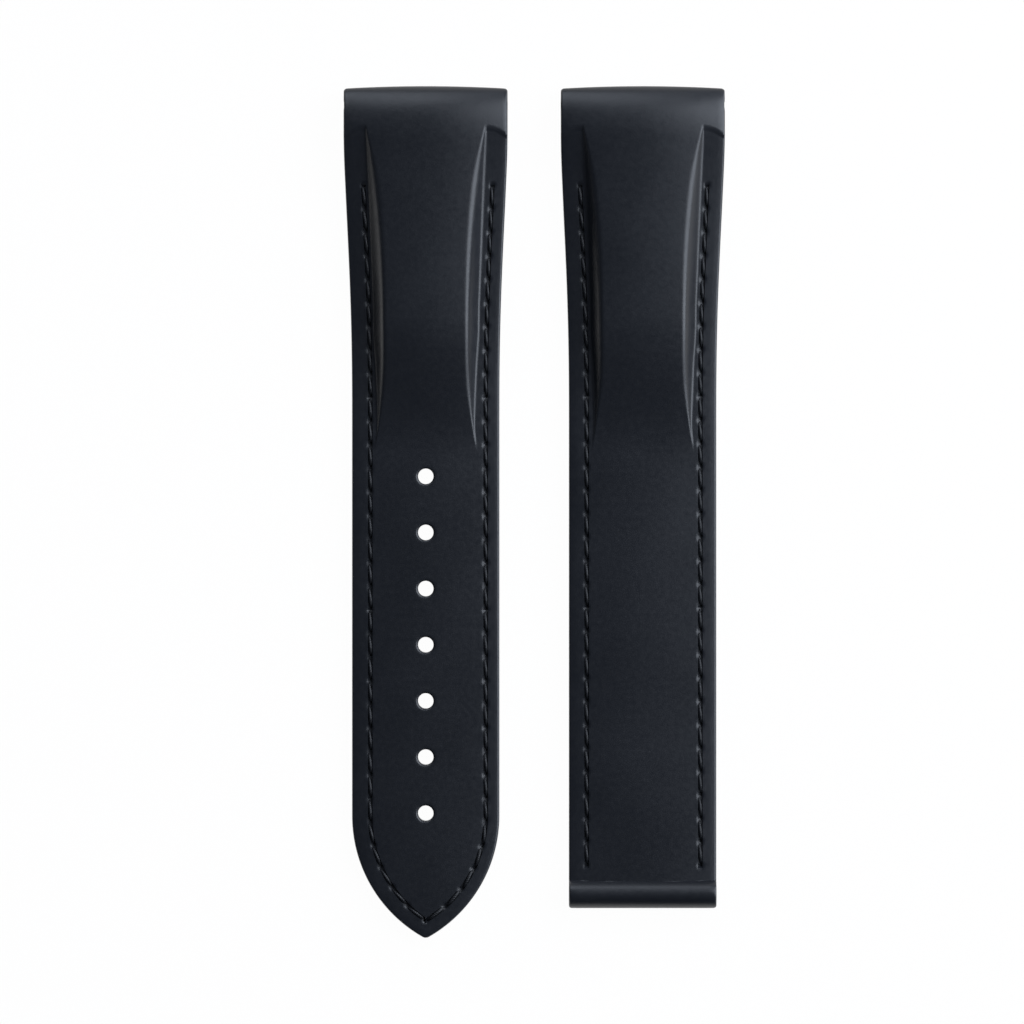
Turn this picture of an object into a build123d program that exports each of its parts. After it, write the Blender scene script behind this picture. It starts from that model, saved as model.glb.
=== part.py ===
from build123d import *
import math
import os

# A padded rubber dive strap in two halves, lying side by side with the wrist faces down.
# Each half is a sewn sandwich: a moulded rubber cover over a thin rubber lining, with a
# woven core tape between them that loops round the metal tube at each bar end, a foam
# padding under the raised middle, and a firm core behind the lug tube. Needle thread shows
# on the cover and bobbin thread on the wrist face. The long half has a pointed tail with
# adjusting holes, and the short half ends in a round bead that holds the clasp tube.
# Every layer is divided at the flex lines, where one stretch of the strap bends against
# the next about an axis on the wrist face.
# A reach is a distance along a half, measured from its lug end.

# Overall sizes of the halves, in millimetres
lug_width = 20.0
band_width = 18.0
long_length = 104.0
short_length = 100.4
halves_spacing = 26.5
lug_thickness = 5.0
band_thickness = 2.4

# Taper of the sides from the lug width to the band width
taper_start = 4.5
taper_end = 42.0

# Rounded lug end: the height of its foremost line, how far its top and its underside
# curve back, the bow of the edge that faces the watch case, and its corners
nose_height = 2.4
nose_reach = 5.4
nose_under_reach = 2.0
nose_bow = 0.3
nose_corner_radius = 0.5

# Shoulders, where the full-width lug block stops and the sewn margins begin
shoulder_reach = 4.95
shoulder_side_reach = 6.2
shoulder_half_width = 7.2
shoulder_bend_share = 0.28
shoulder_drop = 0.35
ledge_fall_power = 3.0

# Raised middle: where it slopes down to the band, how much it falls before that, and the
# half widths of its crest at the lug block, at the waist and at the end
pad_slope_reach = 28.0
pad_end_reach = 43.2
pad_fall = 0.25
crest_lug_half_width = 7.1
crest_waist_half_width = 4.75
crest_end_half_width = 5.75
crest_flare_length = 22.0
crest_flare_power = 2.0
crest_spread_length = 17.2
crest_spread_power = 2.5
flank_angle = 50.0

# Tail of the long half
tail_point_reach = 15.0
tail_tip_radius = 0.5

# Adjusting holes
hole_count = 7
hole_radius = 0.95
hole_pitch = 6.86
hole_tip_distance = 15.2
hole_rim = 0.27

# Layers
lining_thickness = 0.8
tape_thickness = 0.3
tape_width = 11.0
tape_tail_gap = 11.0
cover_wall = 1.1
cover_flank_wall = 0.9
padding_end_setback = 3.2
core_side_wall = 1.5
core_end_reach = 7.0

# Tubes for the spring bars at the lug end, and at the clasp end inside its round bead
lug_tube_radius = 1.3
lug_bore_radius = 1.0
lug_tube_setback = 2.7
clasp_tube_radius = 0.95
clasp_bore_radius = 0.75
clasp_bead_radius = 1.7
clasp_corner_radius = 0.3
tube_end_recess = 0.2

# Sewing on the cover and under the lining
seam_inset = 1.8
seam_start_reach = 12.1
seam_end_distance = 5.2
stitch_pitch = 2.89
stitch_gap = 0.44
stitch_width = 0.55
stitch_slant = 4.0
stitch_thickness = 0.3
groove_width = 0.95
groove_depth = 0.3
under_stitch_thickness = 0.2
under_groove_depth = 0.25
stitch_lift = 0.01

# Flex lines: the first crosses the padded part after so many stitches. On the long half
# the others pass midway between two adjusting holes, named by the hole before the line, and
# on the short half they pass between stitches, as near as may be to shares of its rows.
first_flex_stitches = 4
long_flex_holes = (1, 5)
short_flex_shares = (0.45, 0.76)

# Points that draw a curve which follows a rule, and how far a cutting block runs past
curve_points = 9
overrun = 1.0

BAND_HALF = band_width / 2
LUG_HALF = lug_width / 2
TAPE_TOP = lining_thickness + tape_thickness
LUG_TUBE_HEIGHT = TAPE_TOP + lug_tube_radius
TAIL_RADIUS = (tail_point_reach**2 + BAND_HALF**2) / (2 * BAND_HALF)
TAIL_OFFSET = TAIL_RADIUS - BAND_HALF
TAIL_REACH = (
    math.sqrt((TAIL_RADIUS - tail_tip_radius) ** 2 - TAIL_OFFSET**2) + tail_tip_radius
)
STRETCHES = ("lug", "upper", "middle", "end")
ACROSS = (1, 0, 0)
UP = (0, 0, 1)
QUARTER_TURN = 90


def clamped(value):
    """The value, held between 0 and 1."""
    return min(max(value, 0.0), 1.0)


def eased(value):
    """A slope from 0 to 1 that starts and ends level."""
    value = clamped(value)
    return value * value * (3 - 2 * value)


def evenly(first, last, count):
    """Places spread evenly from first to last."""
    return [first + (last - first) * k / (count - 1) for k in range(count)]


def face_of(*lines):
    """The flat face that lines drawn end to end enclose."""
    return make_face(Wire([edge for line in lines for edge in line.edges()]))


def half_width(reach):
    """Half the width of a half: full at the lug end, then drawn in to the band."""
    along = clamped((reach - taper_start) / (taper_end - taper_start))
    return BAND_HALF + (LUG_HALF - BAND_HALF) * (1 - along) ** 3 * (1 + 3 * along)


def crown_height(reach):
    """Height of the raised middle above the wrist face."""
    fall = pad_fall * clamped((reach - nose_reach) / (pad_slope_reach - nose_reach))
    slope = eased((reach - pad_slope_reach) / (pad_end_reach - pad_slope_reach))
    return band_thickness + (lug_thickness - fall - band_thickness) * (1 - slope)


def ledge_share(reach):
    """How far along the sewn margins a reach lies, from the shoulder to the pad's end."""
    return clamped((reach - shoulder_reach) / (pad_end_reach - shoulder_reach))


def ledge_height(reach):
    """Height of the sewn margins, which sink from the lug block to the band."""
    drop = lug_thickness - shoulder_drop - band_thickness
    return band_thickness + drop * (1 - ledge_share(reach)) ** ledge_fall_power


def ledge_slope(reach):
    """Slope of the sewn margins in degrees, downwards along the strap."""
    drop = lug_thickness - shoulder_drop - band_thickness
    steepness = ledge_fall_power * drop / (pad_end_reach - shoulder_reach)
    fall = steepness * (1 - ledge_share(reach)) ** (ledge_fall_power - 1)
    return math.degrees(math.atan(fall))


def crest_half_width(reach):
    """Half width of the raised middle at its crest: wide, then waisted, then wider."""
    flare = clamped(1 - (reach - shoulder_side_reach) / crest_flare_length) ** crest_flare_power
    spread = clamped(1 - (pad_end_reach - reach) / crest_spread_length) ** crest_spread_power
    narrowed = (crest_lug_half_width - crest_waist_half_width) * flare
    widened = (crest_end_half_width - crest_waist_half_width) * spread
    return crest_waist_half_width + narrowed + widened


def flank_run(height):
    """How far out a flank runs while it falls by a height."""
    return height / math.tan(math.radians(flank_angle))


def outline(length, pointed, inset=0.0):
    """The outline of a half from above, drawn in by inset, with the lug end at y = 0."""
    side, band = LUG_HALF - inset, BAND_HALF - inset
    taper = [
        (half_width(reach) - inset, -reach)
        for reach in evenly(taper_start, taper_end, curve_points)
    ]
    last = length - TAIL_REACH if pointed else length
    edges = [
        Line((side, -nose_bow), taper[0]),
        Spline(*taper, tangents=((0, -1), (0, -1))),
        Line(taper[-1], (band, -last)),
    ]
    if pointed:
        radius = TAIL_RADIUS - inset
        turn = math.acos(TAIL_OFFSET / radius)
        middle = (
            radius * math.cos(turn / 2) - TAIL_OFFSET,
            -last - radius * math.sin(turn / 2),
        )
        tip = (0, -last - radius * math.sin(turn))
        edges.append(ThreePointArc((band, -last), middle, tip))
    else:
        edges.append(Line((band, -last), (0, -last)))
    mirrored = [edge.mirror(Plane.YZ) for edge in edges]
    front = ThreePointArc((-side, -nose_bow), (0, 0), (side, -nose_bow))
    return face_of(front, *edges, *mirrored)


def rounded_outline(length, pointed):
    """The outline with its lug corners rounded, and its tip or its clasp corners."""
    face = outline(length, pointed)
    along = face.vertices().sort_by(Axis.Y)
    face = fillet(along[-2:], nose_corner_radius)
    along = face.vertices().sort_by(Axis.Y)
    if pointed:
        return fillet(along[:1], tail_tip_radius)
    corners = [v for v in along if abs(v.Y + length) < overrun and abs(v.X) > BAND_HALF / 2]
    return fillet(corners, clasp_corner_radius)


def prism(face, height=lug_thickness + overrun):
    """A block of a plan face, standing on the wrist face."""
    return extrude(face, amount=height, dir=UP)


def crosswise(profile):
    """A block of a side profile, drawn as (y, z), that runs right across the strap."""
    return extrude(Plane.YZ * profile, amount=LUG_HALF + overrun, dir=ACROSS, both=True)


def layer(bottom, top, length):
    """Everything between two heights."""
    size = (lug_width + 2 * overrun, length + 2 * overrun, top - bottom)
    return Pos(0, -length / 2, (top + bottom) / 2) * Box(*size)


def rod(radius, width, reach, height):
    """A cylinder that lies across the strap."""
    return Pos(0, -reach, height) * Rot(0, QUARTER_TURN, 0) * Cylinder(radius, width)


def channel_bed(length):
    """Everything under the bottom of the cover's sewn channel."""
    top = [
        (-reach, ledge_height(reach) - groove_depth)
        for reach in evenly(seam_start_reach, pad_end_reach, 2 * curve_points)
    ]
    level = top[-1][1]
    floor = Polyline(top[-1], (-length, level), (-length, 0), (-seam_start_reach, 0), top[0])
    return crosswise(face_of(Spline(*top), floor))


def crown_profile(length):
    """Side view of a half: round lug end, raised middle and flat band."""
    under_arc = EllipticalCenterArc(
        (-nose_under_reach, nose_height),
        nose_under_reach,
        nose_height,
        3 * QUARTER_TURN,
        arc_size=QUARTER_TURN,
    )
    upper_arc = EllipticalCenterArc(
        (-nose_reach, nose_height),
        nose_reach,
        lug_thickness - nose_height,
        0,
        arc_size=QUARTER_TURN,
    )
    plateau = (-pad_slope_reach, crown_height(pad_slope_reach))
    slope = [
        (-reach, crown_height(reach))
        for reach in evenly(pad_slope_reach, pad_end_reach, curve_points)
    ]
    floor = Polyline(
        slope[-1], (-length, band_thickness), (-length, 0), (-nose_under_reach, 0)
    )
    level = Line((-nose_reach, lug_thickness), plateau)
    return face_of(under_arc, upper_arc, level, Spline(*slope), floor)


def margin_cutter():
    """What is taken from beside the raised middle on the +X side to leave the margin."""
    sections = []
    for reach in evenly(shoulder_reach, pad_end_reach, curve_points):
        crown, ledge = crown_height(reach), ledge_height(reach)
        foot = crest_half_width(reach) + flank_run(crown - ledge)
        side = lug_width
        lifted = crown + overrun
        station = Plane(origin=(0, -reach, 0), x_dir=ACROSS, z_dir=(0, -1, 0))
        corners = (
            (foot, ledge),
            (side, ledge),
            (side, lifted),
            (crest_half_width(reach) - flank_run(overrun), lifted),
        )
        sections.append(station * make_face(Polyline(*corners, close=True)))
    bend = (
        (shoulder_half_width + half_width(shoulder_side_reach)) / 2,
        -shoulder_reach - shoulder_bend_share * (shoulder_side_reach - shoulder_reach),
    )
    corner = (half_width(shoulder_side_reach), -shoulder_side_reach)
    outside = LUG_HALF + overrun
    start = (shoulder_half_width, -shoulder_reach)
    rest = Polyline(
        corner,
        (outside, -shoulder_side_reach),
        (outside, -pad_end_reach),
        (0, -pad_end_reach),
        (0, -shoulder_reach),
        start,
    )
    behind = face_of(ThreePointArc(start, bend, corner), rest)
    return loft(sections) & prism(behind, lug_thickness + 2 * overrun)


def envelope(length, pointed):
    """The whole outer shape of a half, before it is divided into its layers."""
    plan = prism(rounded_outline(length, pointed))
    cutter = margin_cutter()
    if pointed:
        return plan & crosswise(crown_profile(length)) - cutter - cutter.mirror(Plane.YZ)
    bead_reach = length - clasp_bead_radius
    body = crosswise(crown_profile(bead_reach)) - cutter - cutter.mirror(Plane.YZ)
    bead = rod(clasp_bead_radius, lug_width, bead_reach, clasp_bead_radius)
    return plan & (body + bead)


def padding_block():
    """The foam under the raised middle, one wall inside the cover."""
    sections = []
    for reach in evenly(core_end_reach, pad_end_reach - padding_end_setback, curve_points):
        top = crown_height(reach) - cover_wall
        crest = crest_half_width(reach) - cover_flank_wall
        foot = crest + flank_run(top - TAPE_TOP)
        station = Plane(origin=(0, -reach, 0), x_dir=ACROSS, z_dir=(0, -1, 0))
        corners = ((-foot, TAPE_TOP), (foot, TAPE_TOP), (crest, top), (-crest, top))
        sections.append(station * make_face(Polyline(*corners, close=True)))
    return loft(sections)


def tube(outer, inner, reach, height):
    """A bar tube that ends just inside the sides of the strap."""
    width = 2 * (half_width(reach) - tube_end_recess)
    return rod(outer, width, reach, height) - rod(inner, width + overrun, reach, height)


def plate(width, first, last, bottom, top):
    """A flat strip along the strap."""
    middle = (0, -(first + last) / 2, (bottom + top) / 2)
    return Pos(*middle) * Box(width, last - first, top - bottom)


def core_tape(length, pointed):
    """The woven tape that takes the pull, looped round the tube at each bar end."""
    last = length - tape_tail_gap if pointed else length - clasp_bead_radius
    tape = plate(tape_width, lug_tube_setback, last, lining_thickness, TAPE_TOP)
    lug_loop = lug_tube_radius + tape_thickness
    tape += rod(lug_loop, tape_width, lug_tube_setback, LUG_TUBE_HEIGHT)
    if not pointed:
        tape += rod(clasp_tube_radius + tape_thickness, tape_width, last, clasp_bead_radius)
    return tape


def hole_reach(number, length):
    """The reach of an adjusting hole, numbered from the lug end."""
    return length - hole_tip_distance - (hole_count - number) * hole_pitch


def hole_cutters(length):
    """Round holes right through, each with a small bevel at the cover's face."""
    drilled = Cylinder(hole_radius, 2 * (lug_thickness + overrun))
    bevel = Cone(hole_radius, hole_radius + 2 * hole_rim, 2 * hole_rim)
    cutters = []
    for number in range(1, hole_count + 1):
        reach = hole_reach(number, length)
        cutters.append(Pos(0, -reach, 0) * (drilled + Pos(0, 0, crown_height(reach)) * bevel))
    return cutters


def seam_length(length, pointed):
    """Length of one row of stitches, from its start to the tip or to the seam's end."""
    if not pointed:
        return length - seam_end_distance - seam_start_reach
    radius = TAIL_RADIUS - seam_inset
    return length - TAIL_REACH - seam_start_reach + radius * math.acos(TAIL_OFFSET / radius)


def stitch_count(length, pointed):
    """How many stitches a row holds."""
    return round(seam_length(length, pointed) / stitch_pitch)


def fitted_pitch(length, pointed):
    """The stitch pitch that fills a row with whole stitches."""
    return seam_length(length, pointed) / stitch_count(length, pointed)


def seam_place(along, length, pointed):
    """Where a point of the right-hand row lies: its x, its reach and its turn inwards."""
    reach = seam_start_reach + along
    last = length - TAIL_REACH if pointed else length
    if reach <= last:
        lean = (half_width(reach) - half_width(reach + overrun)) / overrun
        return half_width(reach) - seam_inset, reach, math.degrees(math.atan(lean))
    radius = TAIL_RADIUS - seam_inset
    turn = (reach - last) / radius
    return (
        radius * math.cos(turn) - TAIL_OFFSET,
        last + radius * math.sin(turn),
        math.degrees(turn),
    )


def seam_channel(length, pointed):
    """A wall along both rows of stitches, through the whole thickness."""
    half_groove = groove_width / 2
    ring = outline(length, pointed, seam_inset - half_groove)
    ring -= outline(length, pointed, seam_inset + half_groove)
    last = length if pointed else length - seam_end_distance
    zone = plate(2 * lug_width, seam_start_reach, last, 0, lug_thickness + overrun)
    return prism(ring) & zone


def needle_stitches(length, pointed):
    """The needle thread's stitches, sunk in the channel of the cover."""
    pitch = fitted_pitch(length, pointed)
    bar = extrude(SlotOverall(pitch - stitch_gap, stitch_width), stitch_thickness, dir=UP)
    stitches = []
    for number in range(stitch_count(length, pointed)):
        x, reach, turn = seam_place((number + 0.5) * pitch, length, pointed)
        slope = ledge_slope(reach)
        floor = ledge_height(reach) - groove_depth + stitch_lift
        right = Rot(0, 0, -QUARTER_TURN - turn + stitch_slant) * Rot(0, slope, 0) * bar
        left = Rot(0, 0, -QUARTER_TURN + turn + stitch_slant) * Rot(0, slope, 0) * bar
        stitches += [Pos(x, -reach, floor) * right, Pos(-x, -reach, floor) * left]
    return stitches


def bobbin_stitches(length, pointed):
    """The bobbin thread's stitches, sunk in the channel of the wrist face."""
    pitch = fitted_pitch(length, pointed)
    size = SlotOverall(pitch - stitch_gap, stitch_width)
    bar = extrude(size, under_stitch_thickness, dir=UP)
    floor = under_groove_depth - under_stitch_thickness
    stitches = []
    for number in range(stitch_count(length, pointed)):
        x, reach, turn = seam_place((number + 0.5) * pitch, length, pointed)
        right = Rot(0, 0, -QUARTER_TURN - turn - stitch_slant) * bar
        left = Rot(0, 0, -QUARTER_TURN + turn - stitch_slant) * bar
        stitches += [Pos(x, -reach, floor) * right, Pos(-x, -reach, floor) * left]
    return stitches


def flex_reaches(length, pointed):
    """The reaches of the three flex lines of a half."""
    pitch = fitted_pitch(length, pointed)
    first = seam_start_reach + first_flex_stitches * pitch
    if pointed:
        between = [hole_reach(n, length) + hole_pitch / 2 for n in long_flex_holes]
    else:
        count = stitch_count(length, pointed)
        between = [seam_start_reach + round(share * count) * pitch for share in short_flex_shares]
    return [first, *between]


def layers(length, pointed):
    """Every piece of a half that bends, whole, and every piece that does not."""
    shape = envelope(length, pointed)
    tape = core_tape(length, pointed)
    padding = padding_block()
    lug_rod = rod(lug_tube_radius, 2 * lug_width, lug_tube_setback, LUG_TUBE_HEIGHT)
    rods = lug_rod
    rigid = {
        "lug_tube": tube(lug_tube_radius, lug_bore_radius, lug_tube_setback, LUG_TUBE_HEIGHT),
    }
    if not pointed:
        reach = length - clasp_bead_radius
        rods += rod(clasp_tube_radius, 2 * lug_width, reach, clasp_bead_radius)
        rigid["clasp_tube"] = tube(
            clasp_tube_radius, clasp_bore_radius, reach, clasp_bead_radius
        )
    core_top = lug_thickness - cover_wall
    core_width = lug_width - 2 * core_side_wall
    core = plate(core_width, lug_tube_setback, core_end_reach, TAPE_TOP, core_top)
    holes = hole_cutters(length) if pointed else []
    channel = seam_channel(length, pointed)
    lining = shape & layer(-overrun, lining_thickness, length)
    lining = lining - tape - rods - (channel & layer(0, under_groove_depth, length))
    cover = shape & layer(lining_thickness, lug_thickness + overrun, length)
    cover = cover - tape - rods - core - padding
    cover -= channel - channel_bed(length)
    rigid["lug_core"] = core - tape - rods
    tape = tape - rods
    for cutter in holes:
        lining, cover = lining - cutter, cover - cutter
        tape, padding = tape - cutter, padding - cutter
    flexible = {
        "cover": cover,
        "lining": lining,
        "core_tape": tape,
        "padding": padding,
        "needle_thread": Compound(needle_stitches(length, pointed)),
        "bobbin_thread": Compound(bobbin_stitches(length, pointed)),
    }
    return flexible, rigid


def write(name, shape):
    """One sub-part's solids, as a STEP file of its own."""
    solids = shape.solids()
    whole = solids[0] if len(solids) == 1 else Compound(solids)
    export_step(whole, os.path.join("parts", name + ".step"))
    print(name, len(solids), round(sum(s.volume for s in solids), 2))


os.makedirs("parts", exist_ok=True)
for side, length, pointed, x in (
    ("long", long_length, True, -halves_spacing / 2),
    ("short", short_length, False, halves_spacing / 2),
):
    place = Pos(x, long_length / 2, 0)
    flexible, rigid = layers(length, pointed)
    for name, shape in rigid.items():
        write(f"{side}_{name}", place * shape)
    bounds = [-overrun, *flex_reaches(length, pointed), length + overrun]
    print(side, "flex lines at", [round(reach, 3) for reach in bounds])
    for name, shape in flexible.items():
        for stretch, first, last in zip(STRETCHES, bounds, bounds[1:]):
            zone = plate(2 * lug_width, first, last, -overrun, lug_thickness + overrun)
            piece = shape & zone
            if piece and piece.volume > 0:
                write(f"{side}_{name}_{stretch}", place * piece)
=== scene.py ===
# %% [markdown]
# # A padded rubber dive strap, in two halves
# The CAD model gives the frame: where every layer of the strap lies, which stretches of it
# bend, and how far. This script dresses that frame. Each cell makes one piece or one finish,
# and the words before it say what the real thing is and why it is made this way.

# %% Load the frame
import math
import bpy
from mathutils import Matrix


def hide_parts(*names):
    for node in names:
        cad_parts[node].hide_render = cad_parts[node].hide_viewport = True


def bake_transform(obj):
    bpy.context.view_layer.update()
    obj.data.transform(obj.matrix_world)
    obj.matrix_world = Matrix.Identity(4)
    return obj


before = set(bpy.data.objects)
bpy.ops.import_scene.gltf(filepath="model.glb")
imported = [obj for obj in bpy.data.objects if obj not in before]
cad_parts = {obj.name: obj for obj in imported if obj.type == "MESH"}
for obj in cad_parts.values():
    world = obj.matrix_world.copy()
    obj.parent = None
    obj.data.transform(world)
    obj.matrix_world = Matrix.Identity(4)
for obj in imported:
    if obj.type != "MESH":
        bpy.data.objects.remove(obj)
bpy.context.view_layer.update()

from types import SimpleNamespace

import bmesh
import bpy
import numpy as np
from mathutils import Vector

# %% [markdown]
# ## The camera
# The strap was photographed from straight above with a long lens, so that its sides hardly
# show. A lens of 300 mm, far away, gives the same flat view. The frame of the photograph is
# 1024 pixels wide, and a millimetre of strap takes 8.19 of them, which fixes the distance.

# %% Place the camera
MM = 0.001
PICTURE_PIXELS = 1024
PIXELS_PER_MM = 8.19
LENS = 300.0
CAMERA_ASIDE = -2.71
LOOKED_AT_HEIGHT = 2.4

camera_data = bpy.data.cameras.new("Camera")
camera = bpy.data.objects.new("Camera", camera_data)
bpy.context.scene.collection.objects.link(camera)
bpy.context.scene.camera = camera
camera_data.lens = LENS
field = PICTURE_PIXELS / PIXELS_PER_MM * MM
distance = field * LENS / camera_data.sensor_width
camera.location = (CAMERA_ASIDE * MM, 0, LOOKED_AT_HEIGHT * MM + distance)
camera_data.clip_end = 10 * distance
print("camera", round(distance, 3), "m above the strap, field", round(field, 4), "m wide")

# %% [markdown]
# ## Node trees written as sums
# Both the shapes and the finishes of this strap are rules, and rules read best as formulas.
# A Term wraps the output of a node. Adding, multiplying or comparing Terms adds the Math
# node that does it, also where a plain number comes first. A Board wraps a node tree and
# makes every other kind of node with one method.

# %% Wrap a node's output
class Term:
    """A socket that takes part in sums: each operator adds one Math node to its tree."""

    def __init__(self, board, socket):
        self.board, self.socket = board, socket

    def math(self, operation, *values):
        node = self.board.add("ShaderNodeMath", {"operation": operation}, dict(enumerate(values)))
        return Term(self.board, node.outputs[0])

    def __add__(self, other):
        return self.math("ADD", self, other)

    def __sub__(self, other):
        return self.math("SUBTRACT", self, other)

    def __rsub__(self, other):
        return self.math("SUBTRACT", other, self)

    def __mul__(self, other):
        return self.math("MULTIPLY", self, other)

    def __truediv__(self, other):
        return self.math("DIVIDE", self, other)

    def __rtruediv__(self, other):
        return self.math("DIVIDE", other, self)

    def __pow__(self, other):
        return self.math("POWER", self, other)

    def __neg__(self):
        return self.math("MULTIPLY", self, -1.0)

    __radd__ = __add__
    __rmul__ = __mul__


# %% Wrap a node tree
class Board:
    """A node tree in which one method adds any node, its settings first and then its inputs."""

    def __init__(self, tree):
        self.tree = tree

    def add(self, kind, settings=None, inputs=None):
        node = self.tree.nodes.new(kind)
        for name, value in (settings or {}).items():
            setattr(node, name, value)
        for key, value in (inputs or {}).items():
            self.plug(node.inputs[key], value)
        return node

    def plug(self, socket, value):
        value = value.socket if isinstance(value, Term) else value
        if isinstance(value, bpy.types.NodeSocket):
            self.tree.links.new(value, socket)
        else:
            socket.default_value = value

    def term(self, kind, settings=None, inputs=None, output=0):
        return Term(self, self.add(kind, settings, inputs).outputs[output])

    def split(self, vector):
        """The x, y and z of a vector."""
        node = self.add("ShaderNodeSeparateXYZ", None, {0: vector})
        return [Term(self, output) for output in node.outputs]


# %% [markdown]
# The same formula should serve a plain number, a whole array of numbers and a Term, so that
# the stitches can be set on the surface that the node tree makes. These helpers pick the
# right operation for what they are given.

# %% Choose the operation for what is given
def pick(operation, on_numbers, *values):
    """Runs a Math node if any value is a Term, and otherwise the function on numbers."""
    for value in values:
        if isinstance(value, Term):
            return value.math(operation, *values)
    return on_numbers(*values)


def least(a, b):
    return pick("MINIMUM", np.minimum, a, b)


def most(a, b):
    return pick("MAXIMUM", np.maximum, a, b)


def root(a):
    return pick("SQRT", np.sqrt, a)


def size_of(a):
    return pick("ABSOLUTE", np.abs, a)


def held(value):
    """The value, held between 0 and 1."""
    return least(most(value, 0.0), 1.0)


def eased(value):
    """A slope from 0 to 1 that starts and ends level."""
    value = held(value)
    return value * value * (3.0 - 2.0 * value)


def within(last, value, slope):
    """1 as long as a value is below a limit, and down to 0 over a short slope past it."""
    return held((last + slope - value) / slope)


def soft_most(a, b, blend):
    """The larger value, with the corner where the two meet rounded over a stretch."""
    near = most(blend - size_of(a - b), 0.0) / blend
    return most(a, b) + near * near * near * blend / 6.0


def soft_least(a, b, blend):
    """The smaller value, with the corner where the two meet rounded over a stretch."""
    return -soft_most(-a, -b, blend)


print("a soft corner between 0 and 0 with blend 0.6:", round(float(soft_most(0.0, 0.0, 0.6)), 3))

# %% [markdown]
# ## The sizes of the strap
# All sizes are in millimetres. Widths, lengths, thicknesses, holes and tubes are those of the
# CAD model. The others belong to the dressing alone: how round the moulded edges are, how deep
# the thread has sunk, and how the raised middle is crowned. A reach is a distance along a
# half, measured from its lug end, and the bar of a real watch goes through the tube 2.7 mm
# from there. NEVER is a reach past the end of both halves, for what a half doesn't have.

# %% Write down the sizes
NEVER = 1000.0
size = SimpleNamespace(
    # widths and thicknesses, and where the sides draw in
    lug_half=10.0, band_half=9.0, lug_thickness=5.0, band_thickness=2.4,
    taper_start=4.5, taper_end=42.0,
    # the rounded nose of the lug end
    nose_height=2.4, nose_reach=6.3, nose_under_reach=2.0, nose_bow=0.3, nose_corner=0.4,
    # the edge of the full-width block behind the nose, which runs back at the sides
    shoulder_reach=5.05, shoulder_side_reach=6.2, shoulder_half=7.45, shoulder_drop=0.35,
    shoulder_power=1.84, shoulder_slope=2.4, shoulder_fade=12.0,
    # the slopes of the raised middle and of the sewn margins beside it
    pad_slope_reach=28.0, pad_end_reach=45.0, pad_fall=0.25,
    ledge_end_reach=43.2, ledge_fall_power=3.0, lug_dome=0.85, band_dome=0.45,
    # the upper and the lower edge of the flank that joins the two
    crest_start=4.5, crest_lug=7.4, crest_waist=5.17, crest_end=6.3, crest_flare=30.0,
    crest_spread=13.0, crest_softness=0.9, crest_share=0.8,
    foot_start=6.0, foot_lug=7.45, foot_stop=40.0, foot_end=5.9, foot_softness=0.42,
    flank_slope=1.7,
    # the pointed tail, the round outer edges and the adjusting holes
    tail_radius=17.0, tail_offset=8.0, tip_radius=0.8, edge_radius=0.25, under_edge_radius=0.25,
    hole_radius=0.95, hole_rim=0.27, under_rim=0.1, hole_pitch=6.86, hole_tip_distance=15.2,
    # the tubes, and the round bead over the one at the clasp end
    lug_tube_radius=1.3, lug_tube_reach=2.7, clasp_tube_radius=0.95,
    bead_radius=1.7, bead_corner=0.35, bead_softness=0.05, bead_reach=NEVER,
    # the seams and the rubber that they pull in
    seam_start=12.1, seam_end_distance=5.2, stitch_pitch=2.89,
    groove_half=0.28, groove_wall=0.04, groove_depth=0.3, under_groove_depth=0.25,
    pinch_half=0.42, pinch_depth=0.16,
    # the layers inside, and the room that the cover leaves for them
    lining_thickness=0.8, tape_thickness=0.3, tape_half=5.5, cover_wall=1.1, flank_wall=0.9,
    tape_first=1.4, tape_tail_gap=11.0, tape_clasp_gap=0.8, pad_first=7.0, pad_last=40.0,
    core_first=2.4, core_top=3.9, core_half=8.5, core_last=7.0, core_slope=0.4,
    room_slope=0.3,
)
LUG_Y = 52.0
TAIL_TIP = math.sqrt((size.tail_radius - size.tip_radius) ** 2 - size.tail_offset**2)
TAIL_REACH = TAIL_TIP + size.tip_radius
print("the tail's sides start to close", round(TAIL_REACH, 2), "mm before its tip")

# %% [markdown]
# The two halves share every rule. They differ in length, in how they end, and in where they
# bend. Rows of stitches hold a whole number of stitches, so the pitch is fitted to the row.
# A half is dressed in three lengths that meet between two flex lines, each at a needle hole.
# The seams were sewn a little to the right of the middle, so each side has its own inset.

# %% Describe the two halves
SEAM_COLUMNS = [-1, -0.7, -0.5, -0.38, -0.28, -0.24, -0.12, 0, 0.12, 0.24, 0.28, 0.38, 0.5]
LAST_INSET = 2.8


def make_half(name, aside, length, pointed, seam_inset, seam_aside, flexes, split_stitches):
    """Everything that tells one half from the other."""
    closing = length - TAIL_REACH if pointed else length
    seam_radius = size.tail_radius - seam_inset
    if pointed:
        seam_turn = math.acos(size.tail_offset / seam_radius)
        seam_length = closing - size.seam_start + seam_radius * seam_turn
    else:
        seam_length = length - size.seam_end_distance - size.seam_start
    stitches = round(seam_length / size.stitch_pitch)
    pitch = seam_length / stitches
    first_hole = length - size.hole_tip_distance - 6 * size.hole_pitch
    return SimpleNamespace(
        name=name, aside=aside, length=length, pointed=pointed, closing=closing,
        seam_length=seam_length, stitches=stitches, pitch=pitch, flexes=flexes,
        seam_inset=seam_inset, seam_aside=seam_aside,
        splits=[size.seam_start + k * pitch for k in split_stitches],
        split_stitches=split_stitches,
        holes=[first_hole + k * size.hole_pitch for k in range(7)] if pointed else [],
        bead_reach=length - size.bead_radius,
    )


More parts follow.
